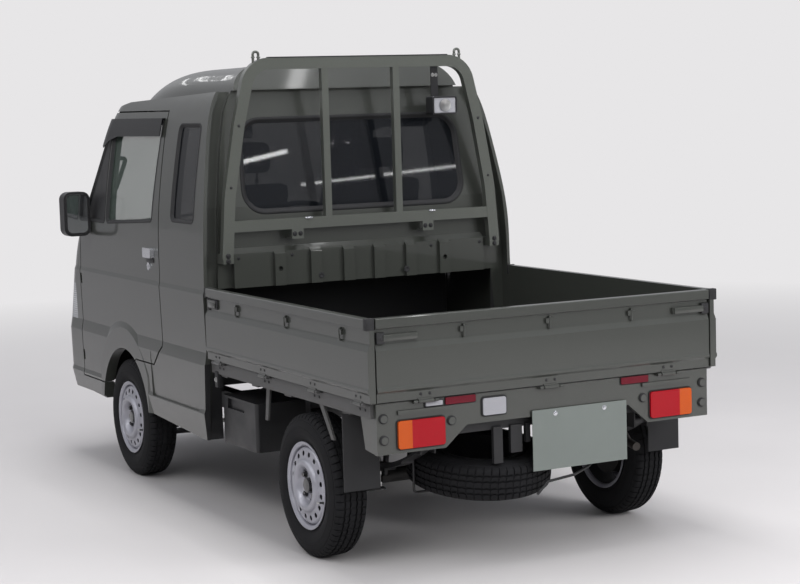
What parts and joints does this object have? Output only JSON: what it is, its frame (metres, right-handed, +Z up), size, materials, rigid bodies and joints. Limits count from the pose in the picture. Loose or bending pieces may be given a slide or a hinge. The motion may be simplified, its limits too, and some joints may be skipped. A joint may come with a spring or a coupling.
{
  "type": "kei truck",
  "caption": "Kei pickup with an extended raised-roof cab, drop-side bed, guard frame, opening doors and gates, and steered front wheels.",
  "frame": {"origin": "on the ground at the centre of the truck's bounding box", "axes": "+X forwards, +Y to the truck's left, +Z up"},
  "size_m": [3.3935, 1.71, 1.8945],
  "materials": {
    "body_paint": "metallic khaki-green paint, glossy",
    "gate_paint": "khaki-green paint, glossy",
    "bed_paint": "khaki-green paint, worn",
    "floor_paint": "black rubber-coated steel",
    "headlamp_lens": "clear lens",
    "black_plastic": "grained",
    "dark_plastic": "grained",
    "glass": "tinted",
    "seat_fabric": "woven",
    "dark_steel": "black chassis paint",
    "lamp_lens": "red, amber and clear lenses",
    "plate": "blank pressed plate",
    "cast": "rough",
    "engine_metal": "as cast",
    "exhaust_steel": "dull",
    "flap_rubber": "matt",
    "bright_steel": "zinc plated",
    "tyre": "matt rubber",
    "rim_paint": "silver paint"
  },
  "bodies": {
    "truck": {"cab_side_left": "body_paint", "cab_side_right": "body_paint", "cab_roof": "body_paint", "cab_rear_wall": "body_paint", "cab_nose": "body_paint", "headlamps": "headlamp_lens", "front_grille": "black_plastic", "front_bumper": "body_paint", "cab_glass": "glass", "cab_floor": "floor_paint", "dashboard": "dark_plastic", "steering_column": "dark_plastic", "seats": "seat_fabric", "seat_bases": "dark_steel", "bed_floor": "bed_paint", "bed_front_wall": "bed_paint", "guard_frame": "gate_paint", "work_lamp": "black_plastic", "rear_panel": "body_paint", "rear_lamps": "lamp_lens", "number_plate": "plate", "chassis_frame": "dark_steel", "rear_axle": "cast", "rear_springs": "dark_steel", "engine": "engine_metal", "prop_shaft": "dark_steel", "exhaust": "exhaust_steel", "fuel_tank": "dark_steel", "battery_box": "black_plastic", "mud_flaps": "flap_rubber", "front_suspension": "dark_steel", "spare_tyre": "tyre", "spare_rim": "rim_paint", "spare_carrier": "bright_steel"},
    "door_left": {"door_left": "body_paint", "door_left_glass": "glass", "door_left_fittings": "black_plastic"},
    "door_right": {"door_right": "body_paint", "door_right_glass": "glass", "door_right_fittings": "black_plastic"},
    "side_gate_left": {"side_gate_left": "gate_paint"},
    "side_gate_right": {"side_gate_right": "gate_paint"},
    "tailgate": {"tailgate": "gate_paint"},
    "steering_wheel": {"steering_wheel": "dark_plastic"},
    "rack": {"rack_bar": "bright_steel"},
    "knuckle_left": {"knuckle_left": "cast"},
    "knuckle_right": {"knuckle_right": "cast"},
    "wheel_front_left": {"tyre_front_left": "tyre", "rim_front_left": "rim_paint"},
    "wheel_front_right": {"tyre_front_right": "tyre", "rim_front_right": "rim_paint"},
    "wheel_rear_left": {"tyre_rear_left": "tyre", "rim_rear_left": "rim_paint"},
    "wheel_rear_right": {"tyre_rear_right": "tyre", "rim_rear_right": "rim_paint"}
  },
  "joints": [
    {"name": "steer_left", "type": "hinge", "parent": "truck", "child": "knuckle_left", "pos_m": [0.7875, 0.535, 0.268], "axis": [0, 0, 1], "range_deg": [-33, 33]},
    {"name": "steer_right", "type": "hinge", "parent": "truck", "child": "knuckle_right", "pos_m": [0.7875, -0.535, 0.268], "axis": [0, 0, 1], "range_deg": [-33, 33]},
    {"name": "rack_slide", "type": "slide", "parent": "truck", "child": "rack", "axis": [0, 1, 0], "range_m": [-0.0576, 0.0576]},
    {"name": "steering_wheel_turn", "type": "hinge", "parent": "truck", "child": "steering_wheel", "pos_m": [1, -0.33, 1.105], "axis": [-0.4384, 0, 0.8988], "range_deg": [-594, 594]},
    {"name": "wheel_front_left_spin", "type": "hinge", "parent": "knuckle_left", "child": "wheel_front_left", "pos_m": [0.7875, 0.65, 0.268], "axis": [0, 1, 0], "continuous": true},
    {"name": "wheel_front_right_spin", "type": "hinge", "parent": "knuckle_right", "child": "wheel_front_right", "pos_m": [0.7875, -0.65, 0.268], "axis": [0, 1, 0], "continuous": true},
    {"name": "wheel_rear_left_spin", "type": "hinge", "parent": "truck", "child": "wheel_rear_left", "pos_m": [-1.1125, 0.65, 0.268], "axis": [0, 1, 0], "continuous": true},
    {"name": "wheel_rear_right_spin", "type": "hinge", "parent": "truck", "child": "wheel_rear_right", "pos_m": [-1.1125, -0.65, 0.268], "axis": [0, 1, 0], "continuous": true},
    {"name": "door_left_hinge", "type": "hinge", "parent": "truck", "child": "door_left", "pos_m": [1.356, 0.725, 0.8], "axis": [0, 0, -1], "range_deg": [0, 65]},
    {"name": "door_right_hinge", "type": "hinge", "parent": "truck", "child": "door_right", "pos_m": [1.356, -0.725, 0.8], "axis": [0, 0, 1], "range_deg": [0, 65]},
    {"name": "side_gate_left_hinge", "type": "hinge", "parent": "truck", "child": "side_gate_left", "pos_m": [-0.956, 0.7315, 0.639], "axis": [-1, 0, 0], "range_deg": [0, 180]},
    {"name": "side_gate_right_hinge", "type": "hinge", "parent": "truck", "child": "side_gate_right", "pos_m": [-0.956, -0.7315, 0.639], "axis": [1, 0, 0], "range_deg": [0, 180]},
    {"name": "tailgate_hinge", "type": "hinge", "parent": "truck", "child": "tailgate", "pos_m": [-1.69, 0, 0.639], "axis": [0, -1, 0], "range_deg": [0, 180]}
  ],
  "couplings": [
    {"joint": "steer_right", "follows": "steer_left", "ratio": 1},
    {"joint": "rack_slide", "follows": "steer_left", "m_per_rad": -0.1},
    {"joint": "steering_wheel_turn", "follows": "steer_left", "ratio": 18}
  ]
}
